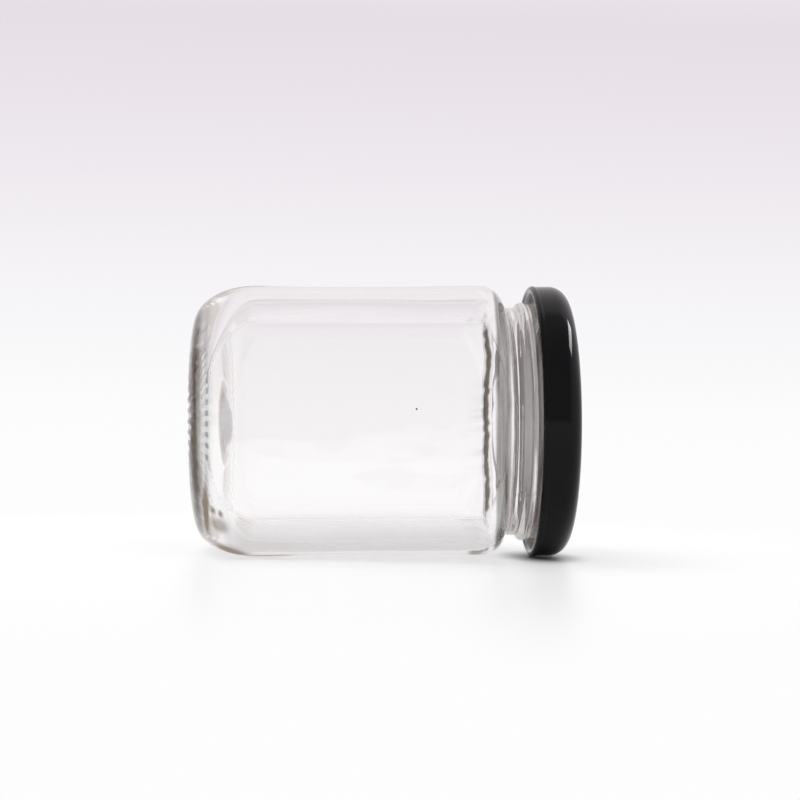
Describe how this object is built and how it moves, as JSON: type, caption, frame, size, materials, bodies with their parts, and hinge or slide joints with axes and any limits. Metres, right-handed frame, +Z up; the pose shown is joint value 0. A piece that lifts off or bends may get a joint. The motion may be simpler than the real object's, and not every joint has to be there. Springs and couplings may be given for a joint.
{
  "type": "square storage jar",
  "caption": "Empty clear glass storage jar, square with rounded corners, lying on its side with its glossy black metal twist lid on.",
  "frame": {"origin": "centre of the bottom of the part's box, on the surface it lies on", "axes": "+X from the base of the jar towards the lid, +Z up, +Y to the back; the jar lies on its side, its axis tilted up 1.9 degrees towards the lid"},
  "size_m": [0.0916, 0.0664, 0.0665],
  "materials": {
    "clear_glass": "clear polished glass, stippled round the base",
    "black_lid": "glossy black lacquer"
  },
  "bodies": {
    "root": {"glass_jar": "clear_glass", "lid": "black_lid"}
  },
  "joints": []
}
